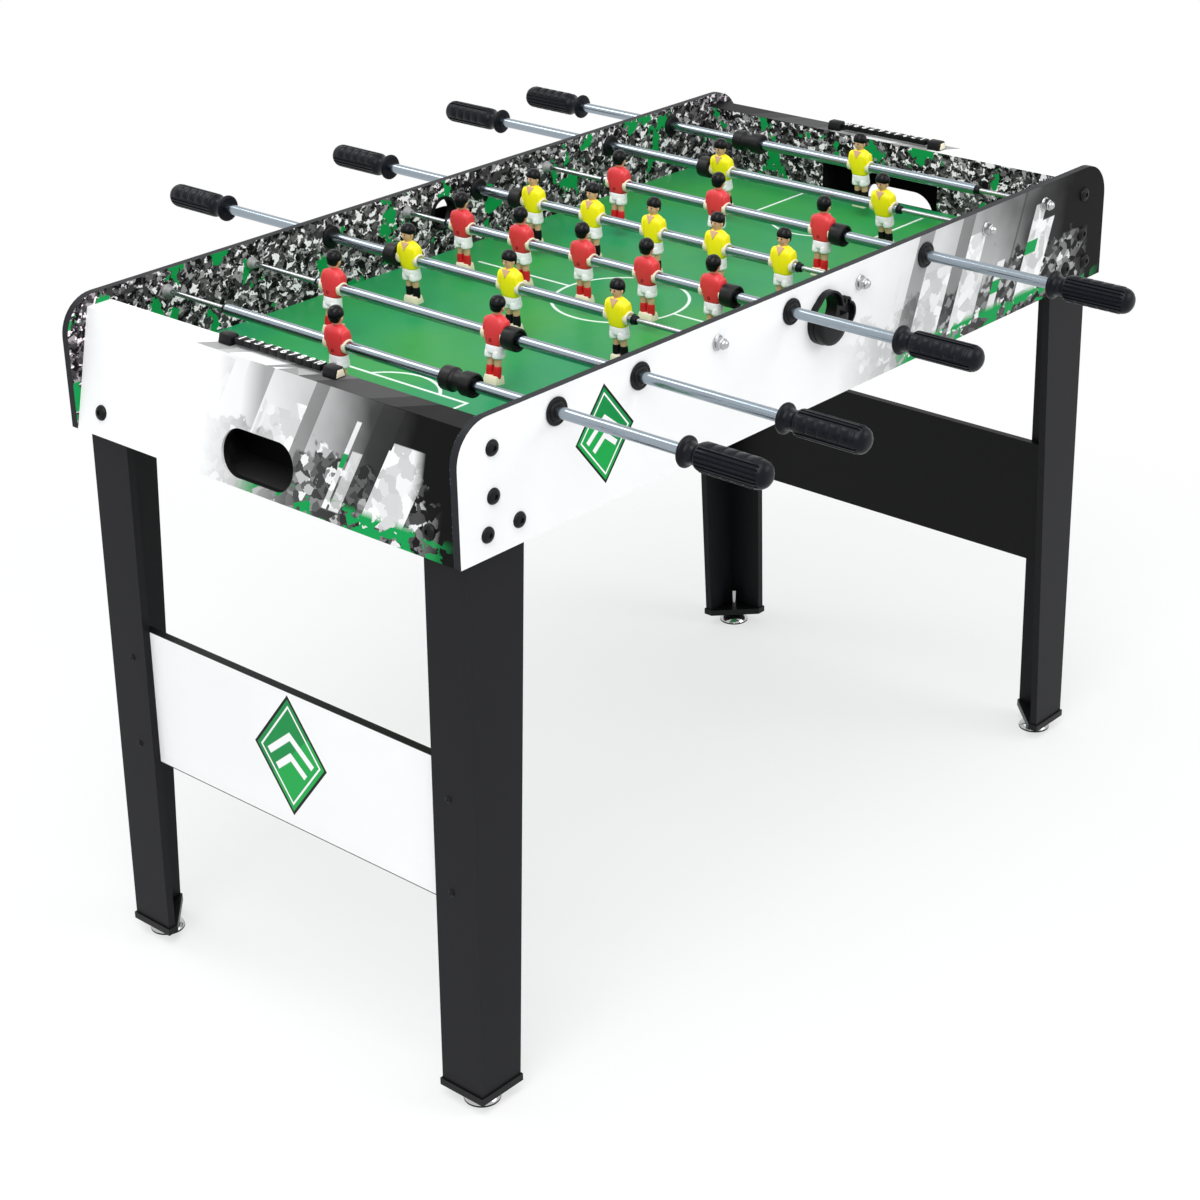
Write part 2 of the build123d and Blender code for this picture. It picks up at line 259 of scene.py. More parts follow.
# Grey facets along an end rail: where each starts, as a share of the rail, and its grey
RAIL_FACETS = [
    (0, 0.87),
    (0.35, 0.34),
    (0.41, 0.5),
    (0.46, 0.85),
    (0.56, 0.3),
    (0.61, 0.42),
    (0.66, 0.12),
    (0.7, 0.06),
    (0.8, 0.03),
    (0.86, 0.006),
]

# Badges: their places and half sizes, in metres
SIDE_BADGE_BACK, SIDE_BADGE_Z = 0.381, 0.755
SIDE_BADGE_HALF = (0.046, 0.056)
BRACE_BADGE_Z = 0.346
BRACE_BADGE_HALF = (0.06, 0.077)

# How near to a side board's face its print shows, and soft steps between prints, in metres
FACE_DEPTH, FACE_SOFT = 0.00004, 0.00002
EDGE_SOFT = 0.0002


def camouflage(p):
    """Short curling splinters of black, greys and white, with green patches."""
    curl = [(p.noise(105, 3, 0.6, shift=k) - 0.5) * 0.016 for k in (0.0, 4.0, 8.0)]
    x, y, z = p.x * 0.8 + curl[0], p.y * 0.8 + curl[1], p.z + curl[2]
    color = CAMO_GROUND
    for shift, least, shade in CAMO_LAYERS:
        ribbon = (p.noise(68, 1, at=(x, y, z), shift=shift) - 0.5).abs().under(0.085, 0.005)
        cut = p.noise(120, 1, at=(x, y, z), shift=shift + 20).over(least, 0.01)
        color = p.mix(ribbon * cut, color, tuple(shade * c for c in CAMO_TINT))
    patch = p.noise(36, 2, 0.6, at=(x, y, z * 0.6), shift=40).over(0.615, 0.004)
    return p.mix(patch, color, PRINT_GREEN)


def fading_print(p, t, u, v, start):
    """White from one end, then bars and splinters on a ground that fades to black, with green slips.
    t runs from 0 to 1 along the panel, u and v are metres along and up it, and the print begins at start."""
    # The ground, and splinters that crowd along its foot
    r = (t - start) / (1 - start)
    jag = (p.noise(90, 2, 0.6) - 0.5) * 0.012
    ground = p.ramp(
        r + (p.noise(9, 3) - 0.5) * 0.3,
        [(0, PRINT_WHITE), (0.28, grey(0.7)), (0.52, grey(0.36)), (0.7, grey(0.05)), (0.82, grey(0.005))],
    )
    splinter = p.ramp(
        p.cells(120, (u * 0.8 + jag, jag, v + jag)),
        [(0, grey(0.01)), (0.34, grey(0.07)), (0.6, grey(0.2)), (0.82, grey(0.45)), (0.93, grey(0.8))],
        steps=True,
    )
    height = p.noise(24, 3, 0.6, shift=5.0) * 0.16
    crowd = height.over(v + 0.012, 0.004) * r.over(0.2, 0.2) * r.under(0.9, 0.04)
    color = p.mix(crowd * 0.9, ground, splinter)
    # Slanted columns of one kind each: some are bars, some are shadows
    lean = u - v * 0.4
    still = lean * 0
    kind = p.cells(30, (lean, still, still))
    top = (kind * 7.3).math("FRACT") * 0.07 + 0.075
    bar = kind.over(0.42, 0.001) * v.between(0.012, top, 0.0006) * r.between(0.08, 0.84, 0.02)
    shade = p.mix(p.cells(60, (u + jag, jag, v + jag), 3.0), grey(0.5), grey(0.86))
    shadow = kind.under(0.22, 0.001) * v.over(0.02, 0.0006) * r.between(0.2, 0.8, 0.04)
    color = p.mix(shadow * 0.55, color, grey(0.03))
    color = p.mix(bar * r.over(0.1, 0.3), color, shade)
    # Green slips in the bars and along the foot
    slip = kind.over(0.78, 0.001) * (v - top * 0.6).abs().under(0.008, 0.0006) * r.between(0.3, 0.8, 0.02)
    low = p.cells(95, (u * 0.5 + jag, jag, v + jag), 9.0).over(0.66, 0.002)
    low = low * v.under(0.022, 0.004) * r.between(0.2, 0.95, 0.05)
    return p.mix(slip.most(low), color, PRINT_GREEN)


def badge(p, u, v, half_u, half_v, color):
    """A plain diamond badge: black rim, white line, two greens and white chevrons."""
    rim = u.abs() / half_u + v.abs() / half_v
    field = p.mix((u + v).over(0, 0.0003), (0.012, 0.36, 0.07), (0.008, 0.25, 0.06))
    line = rim.between(0.78, 0.83, 0.004)
    lift = v + u.abs() * 0.8
    for height in (0.32, -0.02):
        line = line.most((lift / half_v - height).abs().under(0.07, 0.006) * rim.under(0.66, 0.005))
    field = p.mix(line, field, PRINT_WHITE)
    field = p.mix(rim.over(0.93, 0.004), field, grey(0.008))
    return p.mix(rim.under(1, 0.004), color, field)


def side_panel_paint(name, side):
    """Camouflage inside, a dark band round the edge, and the fading print with a badge outside."""
    p = Paint(name, 0.05)
    along = p.x * -side
    up = p.z - SIDE_LOW
    print_ = fading_print(p, along / LENGTH + 0.5, along, up, 0.52)
    print_ = badge(p, along + SIDE_BADGE_BACK, p.z - SIDE_BADGE_Z, *SIDE_BADGE_HALF, print_)
    outside = (p.y * side).over(WIDTH / 2 - FACE_DEPTH, FACE_SOFT)
    inside = (p.y * side).under(WIDTH / 2 - BOARD + FACE_DEPTH, FACE_SOFT)
    color = p.mix(outside, EDGE_BAND, print_)
    return foil(p, p.mix(inside, color, camouflage(p)))


def end_panel_paint():
    """The fading print on the slope, grey facets along the rail, and camouflage towards the pitch."""
    p = Paint("end_panel_print", 0.05)
    end = p.x.math("SIGN")
    across = p.y * end
    print_ = fading_print(p, across / END_WIDTH + 0.5, across, p.z - SIDE_LOW, 0.34)
    slant = across / END_WIDTH + 0.5 + (p.x.abs() - GOAL_X) * 1.6
    slant = slant + (p.cells(9, (across, across * 0, p.x)) - 0.5) * 0.05
    rail = p.ramp(slant, [(place, grey(tone)) for place, tone in RAIL_FACETS], steps=True)
    outer = (LENGTH / 2 - (p.z - SIDE_LOW) * END_LEAN - p.x.abs()).under(0.003, EDGE_SOFT)
    top = p.z.over(END_TOP - 0.0004, EDGE_SOFT)
    inner = p.x.abs().under(GOAL_X + 0.0006, EDGE_SOFT)
    color = p.mix(outer, p.mix(inner, BLACK_BOARD, camouflage(p)), print_)
    return foil(p, p.mix(top, color, rail))


def goal_wall_paint():
    """Camouflage towards the pitch, black elsewhere."""
    p = Paint("goal_wall_print", 0.08)
    inside = p.x.abs().under(GOAL_X + 0.0003, EDGE_SOFT)
    return foil(p, p.mix(inside, BLACK_BOARD, camouflage(p)))


def pitch_paint():
    """Two washes of green with white markings."""
    p = Paint("pitch_print", 0.2)
    line, soft = 0.0019, 0.0005
    circle_r, halfway_end = 0.084, 0.24
    box_x, box_y, box_end = 0.369, 0.097, 0.5
    arc_x, arc_r = 0.409, 0.068
    ax, ay = p.x.abs(), p.y.abs()
    from_middle = (p.x * p.x + p.y * p.y).math("SQRT")
    circle = (from_middle - circle_r).abs().under(line, soft)
    halfway = ax.under(line, soft) * ay.between(circle_r, halfway_end, soft)
    front = (ax - box_x).abs().under(line, soft) * ay.under(box_y + line, soft)
    sides = (ay - box_y).abs().under(line, soft) * ax.between(box_x - line, box_end, soft)
    off = ax - arc_x
    arc = ((off * off + p.y * p.y).math("SQRT") - arc_r).abs().under(line, soft) * ax.under(box_x, soft)
    marks = circle.most(halfway).most(front).most(sides).most(arc)
    wash = p.noise(4, 2).over(0.5, 0.12)
    grass = p.mix(wash, (0.034, 0.315, 0.064), (0.012, 0.275, 0.1))
    return foil(p, p.mix(marks, grass, (0.8, 0.92, 0.84)), 0.36)


def leg_paint():
    """Black foil with a faint grain up the boards."""
    p = Paint("leg_foil", 0.13)
    grain = p.noise(60, 3, 0.6, at=(p.x * 6, p.y * 6, p.z * 0.4))
    color = p.mix(grain, (0.006, 0.006, 0.0075), (0.01, 0.01, 0.012))
    p.set(Base_Color=color, Roughness=uneven(grain, 0.45, 0.05))
    return p.bump(grain, 0.05).material


def brace_paint():
    """White outside with a badge; black inside and on the edges."""
    p = Paint("brace_foil", 0.12)
    outer_x, edge = 0.5847, 0.0012
    outer = (p.x.abs() + p.z * LEG_SPLAY).over(outer_x, EDGE_SOFT)
    low, high = (v.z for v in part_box("leg_braces"))
    face = outer * p.z.between(low + edge, high - edge, 0.0003)
    pale = p.mix(p.noise(5, 2), grey(0.84), grey(0.9))
    pale = badge(p, p.y, p.z - BRACE_BADGE_Z, *BRACE_BADGE_HALF, pale)
    return foil(p, p.mix(face, BLACK_BOARD, pale))


BLACK = moulded("black_moulding", (0.005, 0.005, 0.006), 0.38, shine=0.17)
GRIP = moulded("grip_moulding", (0.003, 0.0038, 0.0068), 0.32, grain=420, bump=0.1, shine=0.15)
RUBBER = moulded("rubber", (0.0045, 0.0045, 0.005), 0.42, shine=0.26)
GREY = moulded("grey_moulding", grey(0.013), 0.42, spread=0.2, grain=60, shine=0.3)
TUBE = plated("rod_plating", (0.33, 0.385, 0.435), 0.2)
INNER = plated("inner_rod_plating", (0.42, 0.45, 0.46), 0.2)
COLLAR = moulded("collar_grey", grey(0.27), 0.4)
BRIGHT = plated("bright_plating", (0.5, 0.5, 0.51), 0.16)
CREAM = moulded("cream_moulding", (0.82, 0.74, 0.56), 0.4)
SKIN = moulded("skin_colour", (0.68, 0.4, 0.24), 0.42)
HAIR = moulded("hair_black", (0.003, 0.003, 0.004), 0.26, shine=0.17)
WHITE = moulded("shorts_white", (0.96, 0.91, 0.95), 0.42, spread=0.02)
SHIRT = {
    "red": moulded("shirt_red", (0.7, 0.035, 0.042), 0.4, spread=0.05),
    "yellow": moulded("shirt_yellow", (0.97, 0.85, 0.002), 0.4, spread=0.04),
}
SOCK = {
    "red": moulded("sock_red", (0.6, 0.006, 0.012), 0.4),
    "yellow": moulded("sock_black", (0.004, 0.004, 0.005), 0.5, shine=0.14),
}
NUMERAL = moulded("numeral_white", grey(0.9), 0.5, spread=0.03)

PAINTS = {
    "front_side_panel": side_panel_paint("front_panel_print", -1),
    "rear_side_panel": side_panel_paint("rear_panel_print", 1),
    "end_panels": end_panel_paint(),
    "goal_walls": goal_wall_paint(),
    "playfield": pitch_paint(),
    "legs": leg_paint(),
    "leg_braces": brace_paint(),
    "ball_trays": GREY,
    "inner_rods": BRIGHT,
}
ENDINGS = {"_tube": TUBE, "_handle": GRIP, "_bumper": RUBBER}
for name, node in nodes.items():
    paint = PAINTS.get(name, BLACK)
    for ending, finish in ENDINGS.items():
        paint = finish if name.endswith(ending) else paint
    node.data.materials.clear()
    node.data.materials.append(paint)


# Modelling: operators on one active mesh


def clear_choice():
    """Leave edit mode with nothing selected."""
    if bpy.context.object and bpy.context.object.mode != "OBJECT":
        bpy.ops.object.mode_set(mode="OBJECT")
    bpy.ops.object.select_all(action="DESELECT")


def choose(test):
    """In edit mode, select the faces whose middle and normal pass the test."""
    bpy.ops.mesh.select_all(action="DESELECT")
    bpy.ops.object.mode_set(mode="OBJECT")
    for face in bpy.context.object.data.polygons:
        face.select = test(face.center / MM, face.normal)
    bpy.ops.object.mode_set(mode="EDIT")


def size_to(ring, before, at):
    """Bring the chosen face from one ring's half widths to another's."""
    bpy.ops.transform.resize(value=(ring[1] / before[1], ring[2] / before[2], 1), center_override=at)


def full(ring):
    """A ring as (height, half width in X, half width in Y, shift in X), all in millimetres."""
    height, wide, *rest = ring
    return (height, wide, rest[0] if rest else wide, rest[1] if len(rest) > 1 else 0)


def turned(sides, rings, finish, rounds=0, bored=False, corner=0):
    """A form grown from a cylinder: its top is extruded and sized again for each ring.
    With a corner, the cylinder is a square bar whose long edges lose that share of their half width."""
    rings = [full(r) for r in rings]
    low, high = rings[:2]
    clear_choice()
    middle = (low[0] + high[0]) / 2 * MM
    depth = (high[0] - low[0]) * MM
    if corner:
        bpy.ops.mesh.primitive_cube_add(size=2 * MM, location=(0, 0, middle))
        bpy.context.object.scale.z = depth / (2 * MM)
    else:
        bpy.ops.mesh.primitive_cylinder_add(vertices=sides, radius=MM, depth=depth, location=(0, 0, middle))
    o = bpy.context.object
    bpy.ops.object.transform_apply()
    bpy.ops.object.mode_set(mode="EDIT")
    if corner:
        bpy.context.tool_settings.mesh_select_mode = (False, True, False)
        bpy.ops.mesh.select_all(action="DESELECT")
        bpy.ops.object.mode_set(mode="OBJECT")
        for edge in o.data.edges:
            a, b = (o.data.vertices[k].co for k in edge.vertices)
            edge.select = (a - b).xy.length < 1e-6
        bpy.ops.object.mode_set(mode="EDIT")
        bpy.ops.mesh.bevel(offset=corner * MM, segments=1)
    bpy.context.tool_settings.mesh_select_mode = (False, False, True)
    for ring, sign in ((low, -1), (high, 1)):
        choose(lambda c, n: n.z * sign > 0.9 and c.xy.length < 0.1)
        size_to(ring, (0, 1, 1), (0, 0, ring[0] * MM))
        bpy.ops.transform.translate(value=(ring[3] * MM, 0, 0))
    for before, ring in zip(rings[1:], rings[2:]):
        step = ((ring[3] - before[3]) * MM, 0, (ring[0] - before[0]) * MM)
        bpy.ops.mesh.extrude_region_move(TRANSFORM_OT_translate={"value": step})
        size_to(ring, before, (ring[3] * MM, 0, ring[0] * MM))
    if bored:
        bpy.ops.object.mode_set(mode="OBJECT")
        ends = sorted((f for f in o.data.polygons if len(f.vertices) == sides), key=lambda f: f.area)[:2]
        kept = {f.index for f in ends}
        bpy.ops.object.mode_set(mode="EDIT")
        bpy.ops.mesh.select_all(action="DESELECT")
        bpy.ops.object.mode_set(mode="OBJECT")
        for f in o.data.polygons:
            f.select = f.index in kept
        bpy.ops.object.mode_set(mode="EDIT")
        bpy.ops.mesh.bridge_edge_loops()
    bpy.ops.mesh.select_all(action="SELECT")
    bpy.ops.mesh.normals_make_consistent(inside=False)
    bpy.ops.object.mode_set(mode="OBJECT")
    o.data.materials.append(finish)
    if rounds:
        add_modifier(o, "SUBSURF", levels=rounds, render_levels=rounds)
    return o


def add_modifier(o, kind, **settings):
    m = o.modifiers.new(kind.lower(), kind)
    for key, value in settings.items():
        setattr(m, key, value)
    bpy.context.view_layer.objects.active = o
    bpy.ops.object.modifier_apply(modifier=m.name)


def softened(o, width, segments=2, angle=35):
    """Bevel the edges that are sharper than an angle. The width is in millimetres."""
    limit = math.radians(angle)
    add_modifier(o, "BEVEL", width=width * MM, segments=segments, limit_method="ANGLE", angle_limit=limit)
    return o


def moved(o, place):
    o.data.transform(place)
    return o


def copied(o, place):
    twin = o.copy()
    twin.data = o.data.copy()
    bpy.context.collection.objects.link(twin)
    return moved(twin, place)


def joined(parts, name, smooth=40):
    """One piece made of several, smooth except at edges sharper than an angle."""
    clear_choice()
    for o in parts:
        o.select_set(True)
    bpy.context.view_layer.objects.active = parts[0]
    if len(parts) > 1:
        bpy.ops.object.join()
    o = bpy.context.object
    o.name = name
    o.data.name = name
    bpy.ops.object.shade_smooth_by_angle(angle=math.radians(smooth))
    o.select_set(False)
    return o


def spread(model, places, name):
    """Copies of a model at several places, as one piece. The model itself goes."""
    o = joined([copied(model, place) for place in places], name)
    bpy.data.objects.remove(model)
    return o


def at(x, y, z):
    return Matrix.Translation((x * MM, y * MM, z * MM))


def turn(axis, degrees):
    return Matrix.Rotation(math.radians(degrees), 4, axis)


def block(low, high, finish, soft, top=(1, 1)):
    """A box between two corners in millimetres, its edges rounded and its top drawn in."""
    clear_choice()
    middle = (Vector(low) + Vector(high)) / 2 * MM
    bpy.ops.mesh.primitive_cube_add(size=1, location=middle)
    o = bpy.context.object
    o.scale = (Vector(high) - Vector(low)) * MM
    bpy.ops.object.transform_apply()
    bpy.ops.object.mode_set(mode="EDIT")
    bpy.context.tool_settings.mesh_select_mode = (False, False, True)
    choose(lambda c, n: n.z > 0.9)
    bpy.ops.transform.resize(value=(*top, 1), center_override=(middle.x, middle.y, high[2] * MM))
    bpy.ops.object.mode_set(mode="OBJECT")
    o.data.materials.append(finish)
    return softened(o, soft)


def outward(side):
    """Turns a form's axis from +Z to the outside of a side wall."""
    return turn("X", -90 * side)


# Figures


def figure(team):
    """One player, facing +X, with the rod along Y through the origin. The face is a plain doll's."""
    shirt, sock = SHIRT[team], SOCK[team]
    body = [(-12.4, 7, 10), (-11.8, 8.6, 12), (-6, 9.4, 13.2), (2, 9.8, 14.8), (10, 9.6, 15.2)]
    body += [(15.5, 9, 14.8), (19, 7.6, 12), (21.6, 5.4, 7.4), (23, 3.4, 4.6)]
    head = [(17, 4, 4, 1.5), (19.4, 5, 4.8, 1.9), (21, 4.9, 4.9, 1), (22.6, 4.1, 4.2, 0.2)]
    head += [(24, 4.9, 4.9, 0.3), (26, 6.6, 6.3, 0.7), (30, 7.8, 7.4, 0.8)]
    head += [(36, 8.1, 7.7, 0.4), (40, 6.8, 6.6), (42, 3, 3)]
    hair = [(30.8, 8, 8, -1.2), (31.8, 9.4, 9.3, -0.9), (36, 9.6, 9.4, -0.5)]
    hair += [(40.8, 8.2, 8, -0.3), (44.2, 4, 4, -0.3)]
    nape = [(25, 3.2, 5.2, -3.4), (26.4, 4.8, 7, -3.4), (31, 5.8, 8.3, -3.4), (35.5, 5.6, 8.5, -3.2)]
    nose = [(-1.6, 1, 0.9), (-0.6, 1.5, 1.3), (1.2, 0.9, 0.8), (2.4, 0.4, 0.4)]
    hips = [(-21, 8.2, 11.6), (-20, 9, 12.4), (-15, 8.9, 12.2), (-11, 8.6, 11.6), (-10.4, 7, 10)]
    vee = [(-1.5, 7), (1.1, 7), (1.3, 6.4)]
    rivet = [(-1, 2), (0.2, 2), (0.3, 1.5), (-0.5, 1.2)]
    hair_tilt = at(0, 0, 34) @ turn("Y", -12) @ at(0, 0, -34)
    neckline = at(6.9, 0, 18.2) @ turn("Y", 71) @ turn("Z", -90)
    parts = [
        turned(8, body, shirt, 2, corner=0.45),
        turned(16, head, SKIN, 1),
        moved(turned(16, hair, HAIR, 1), hair_tilt),
        turned(14, nape, HAIR, 1),
        moved(turned(10, nose, SKIN, 1), at(8.6, 0, 30)),
        moved(softened(turned(3, vee, SKIN), 0.3), neckline),
        turned(8, hips, WHITE, 2, corner=0.5),
        block((-7.2, -10.4, -56.2), (8.8, 10.4, -46), CREAM, 1.2, (0.8, 0.88)),
        moved(turned(12, rivet, HAIR), at(-9.2, 0, -5.5) @ turn("Y", -90)),
    ]
    sleeve = [(-5, 4.6, 1.8), (-4, 6.8, 2.8), (2, 7.8, 3.4), (10, 7.6, 3.4), (15, 6.6, 3)]
    sleeve += [(18, 4.4, 2), (18.8, 2.4, 1)]
    ring = [(12, 7.4), (12.6, 8.2), (16.6, 8.2), (17.2, 7.6), (17.3, 6)]
    eye = [(-0.9, 0.4, 0.5), (-0.4, 0.7, 0.8), (0.5, 0.7, 0.8), (1, 0.4, 0.5)]
    ear = [(-2.6, 0.8, 0.6), (-1.2, 1.6, 1), (1.2, 1.8, 1), (2.6, 0.9, 0.6)]
    short = [(-26.4, 7.4, 5), (-25.8, 9, 6.2), (-22, 9, 6.2), (-17, 8.6, 5.8), (-16, 7, 5)]
    leg = [(-37, 3.4, 3.4), (-35.5, 4.1, 4.1), (-30, 4.5, 4.4), (-24, 4.5, 4.4), (-23, 4, 4)]
    hose = [(-50, 4, 4.2), (-48, 4.8, 4.9), (-42, 5.1, 5.1), (-36, 4.8, 4.8), (-34.6, 4.2, 4.2)]
    for side in (-1, 1):
        parts += [
            moved(turned(8, sleeve, shirt, 2, corner=0.5), at(0, side * 13, 0)),
            moved(turned(28, ring, CREAM), outward(side)),
            moved(turned(8, eye, HAIR, 1), at(8.1, side * 2.9, 32)),
            moved(turned(10, ear, SKIN, 1), at(0.6, side * 7.8, 30.2)),
            moved(turned(14, short, WHITE, 1), at(0, side * 5.9, 0)),
            moved(turned(12, leg, SKIN, 1), at(0, side * 5.5, 0)),
            moved(turned(12, hose, sock, 1), at(0, side * 5.5, 0)),
        ]
    return joined(parts, team + "_figure_model")


# Rod sets: handles, stops, end plugs, bearings, nuts and inner rods

GRIP_SIDES, GRIP_R = 40, 14.9
PAD_START, PAD_LENGTH, PAD_STEP, PAD_COUNT = 24, 12, 14, 5
GRIP_PADS = [(PAD_START + PAD_STEP * i, PAD_START + PAD_LENGTH + PAD_STEP * i) for i in range(PAD_COUNT)]
GROOVES = (5, 7, 9, 11, 13, 15)
TUBE_HOLE_R, ROD_HOLE_R = 6.6, 3.1
STOP_R = 13.5


def handle():
    """A grip along +Z from its flange: grooves on two sides, cut pads on the others, a rounded end."""
    rings = [(0, 13.5), (0.7, 16), (1.6, 16.5), (3.6, 16.5), (4.6, 15.6), (6, 12.4)]
    rings += [(8, 11.3), (15, 11.2), (18, 12.4), (20.6, 14.2), (22.6, GRIP_R)]
    rings += [(z, GRIP_R) for pad in GRIP_PADS for z in pad]
    rings += [(95, 14.8), (98, 14), (101, 12.2), (103.4, 9.4), (104.6, 6), (105, 2.5)]
    o = turned(GRIP_SIDES, rings, GRIP)
    half_turn, face = GRIP_SIDES // 2, 360 / GRIP_SIDES
    bpy.ops.object.mode_set(mode="EDIT")

    def column(c):
        """Columns of faces, counted from the middle of a padded side round half a turn."""
        return round((math.degrees(math.atan2(c.y, c.x)) - face / 2) / face) % half_turn

    def padded(c):
        return any(low < c.z < high for low, high in GRIP_PADS) and min(column(c), half_turn - column(c)) < 4

    choose(lambda c, n: 22.5 < c.z < 99 and column(c) in GROOVES)
    bpy.ops.mesh.inset(thickness=0.4 * MM, depth=-1.9 * MM)
    choose(lambda c, n: padded(c))
    bpy.ops.mesh.inset(thickness=0.5 * MM, depth=0.9 * MM)
    bpy.ops.mesh.select_all(action="SELECT")
    bpy.ops.mesh.normals_make_consistent(inside=False)
    bpy.ops.object.mode_set(mode="OBJECT")
    return softened(o, 0.3, 1, 32)


def bumper(half, waist):
    """A rubber stop round the tube, its outer end dished; a goalie's has a waist."""
    rings = [(-half, TUBE_HOLE_R), (-half + 0.01, 12.2), (-half + 0.8, 13.3), (-half + 1.8, STOP_R)]
    if waist:
        rings += [(-8, STOP_R), (-6.4, 11), (-5, 10.5), (5, 10.5), (6.4, 11), (8, STOP_R)]
    rings += [(half - 2, STOP_R), (half - 0.7, 13.1), (half, 12), (half, 10.9)]
    rings += [(half - 0.6, 10.3), (half - 3, 9.9), (half - 3.1, TUBE_HOLE_R)]
    return turned(36, rings, RUBBER, bored=True)


def end_plug():
    """The plug in a tube's inner end, from its spigot out along +Z."""
    rings = [(-14, ROD_HOLE_R), (-13.9, 4.5), (0, 4.5), (0.05, 5.4), (4.6, 5.4), (5.6, 4.8)]
    rings += [(BUSH_REACH, 4), (BUSH_REACH, ROD_HOLE_R)]
    return turned(24, rings, BLACK, bored=True)


def bushing():
    """The bearing in a side wall, from the wall's inner face outwards along +Z."""
    rings = [(-4, TUBE_HOLE_R), (-3.99, 11.8), (-3.4, 13.4), (-2.6, 14), (-0.2, 14.2), (0, 9), (10, 9)]
    rings += [(10.2, 15), (10.6, 15.5), (12, 15.5), (12.8, 14.8)]
    rings += [(13, 12.4), (12.4, 11), (14, 10.2), (14.6, 9), (14.4, TUBE_HOLE_R)]
    return turned(40, rings, BLACK, bored=True)


def domed_nut():
    """A nut cover and its washer, outwards along +Z from a wall's face."""
    cap = turned(20, [(7.6, 4.6), (9, 5.8), (11, 5.6), (12.6, 4.6), (13.8, 3), (14.4, 1.2)], BRIGHT, 1)
    washer = turned(28, [(0, 8.4), (0.4, 9), (1.2, 9), (1.8, 8.2)], BRIGHT)
    return joined([cap, washer], "nut_model")


def inner_rod():
    """A fixed rod along +Z from its wall's inner face, with a collar inside the wall and a nut outside."""
    rod = turned(20, [(-10.5, 3), (418, 3), (419.4, 2.5), (420, 1.5)], INNER)
    rings = [(0, 6.8), (0.5, 7.6), (2.4, 7.6), (3.2, 6.8), (5, 5.6), (9.2, 5), (10, 4.2), (10.05, 2.9)]
    collar = turned(28, rings, COLLAR)
    nut = softened(turned(6, [(-19, 6.6), (-18.2, 7.4), (-10, 7.5)], BRIGHT), 0.3)
    return joined([rod, collar, nut], "inner_rod_model")


figures = {team: figure(team) for team in ("red", "yellow")}
grip = handle()
stops = {"goalie": bumper(22, True), "other": bumper(9, False)}
tip_model = end_plug()
bearing = bushing()
dome = domed_nut()
inner = inner_rod()
bearing_places, dome_places, inner_places = [], [], []

# In degrees: how each grip is turned round its rod, and the spin of the men at rest
PLAIN_SPIN = 40
SPINS = {
    "red_goalie": 78,
    "red_attack": 70,
    "red_defence": -24,
    "red_midfield": -30,
    "yellow_goalie": 60,
    "yellow_defence": 12,
}
LEANS = {"red_defence": -8, "yellow_attack": -3, "red_attack": -4, "yellow_defence": -8, "yellow_goalie": -5}
for rod in RODS:
    team, line = rod.split("_")
    low, high = (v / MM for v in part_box(rod + "_men"))
    x = sum(v.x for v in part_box(rod + "_tube")) / 2 / MM
    first, last = low.y + MAN_HALF, high.y - MAN_HALF
    count = MEN_ON[line]
    step = (last - first) / max(count - 1, 1)
    facing = turn("Z", 0 if team == "red" else 180) @ turn("Y", -LEANS.get(rod, 0))
    places = [at(x, first + i * step, ROD_Z) @ facing for i in range(count)]
    men = joined([copied(figures[team], place) for place in places], rod + "_figures")
    grips_low, grips_high = (v.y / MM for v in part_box(rod + "_handle"))
    side = -1 if grips_high < 0 else 1
    flange = grips_high if side < 0 else grips_low
    stock = copied(grip, at(x, flange, ROD_Z) @ outward(side) @ turn("Z", SPINS.get(rod, PLAIN_SPIN)))
    stop_low, stop_high = (v.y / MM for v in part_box(rod + "_bumper"))
    stop_model = stops["goalie" if line == "goalie" else "other"]
    stop = copied(stop_model, at(x, (stop_low + stop_high) / 2, ROD_Z) @ outward(side))
    tip_low, tip_high = (v.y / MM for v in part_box(rod + "_end_bush"))
    tip_y = tip_high - BUSH_REACH if side < 0 else tip_low + BUSH_REACH
    tip = copied(tip_model, at(x, tip_y, ROD_Z) @ outward(-side))
    for piece, node, name, slot, body in (
        (men, "_men", "_figures", team + "_men", "_rod"),
        (stock, "_handle", "_grip", "grip", "_rod"),
        (stop, "_bumper", "_stop", "rubber", "_rod"),
        (tip, "_end_bush", "_end_plug", "black_plastic", "_slider"),
    ):
        piece = joined([piece], rod + name)
        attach(piece, rod + body)
        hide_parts(rod + node)
    bearing_places.append(at(x, side * WALL_IN, ROD_Z) @ outward(side))
    dome_places.append(at(x, -side * WALL_OUT, ROD_Z) @ outward(-side))
    inner_places.append(at(x, -side * WALL_IN, ROD_Z) @ outward(side))
for model in (*figures.values(), grip, *stops.values(), tip_model):
    bpy.data.objects.remove(model)

bearings = spread(bearing, bearing_places, "rod_bearings")
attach(bearings, "table")
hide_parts("wall_bushings")
domes = spread(dome, dome_places, "nut_domes")
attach(domes, "table")
inner_set = spread(inner, inner_places, "inner_rod_set")
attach(inner_set, "table")
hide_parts("inner_rods")


# Pockets outside the ball entries

ENTRY_X, ENTRY_DROP = 6, 51
POCKET_CUT = 6


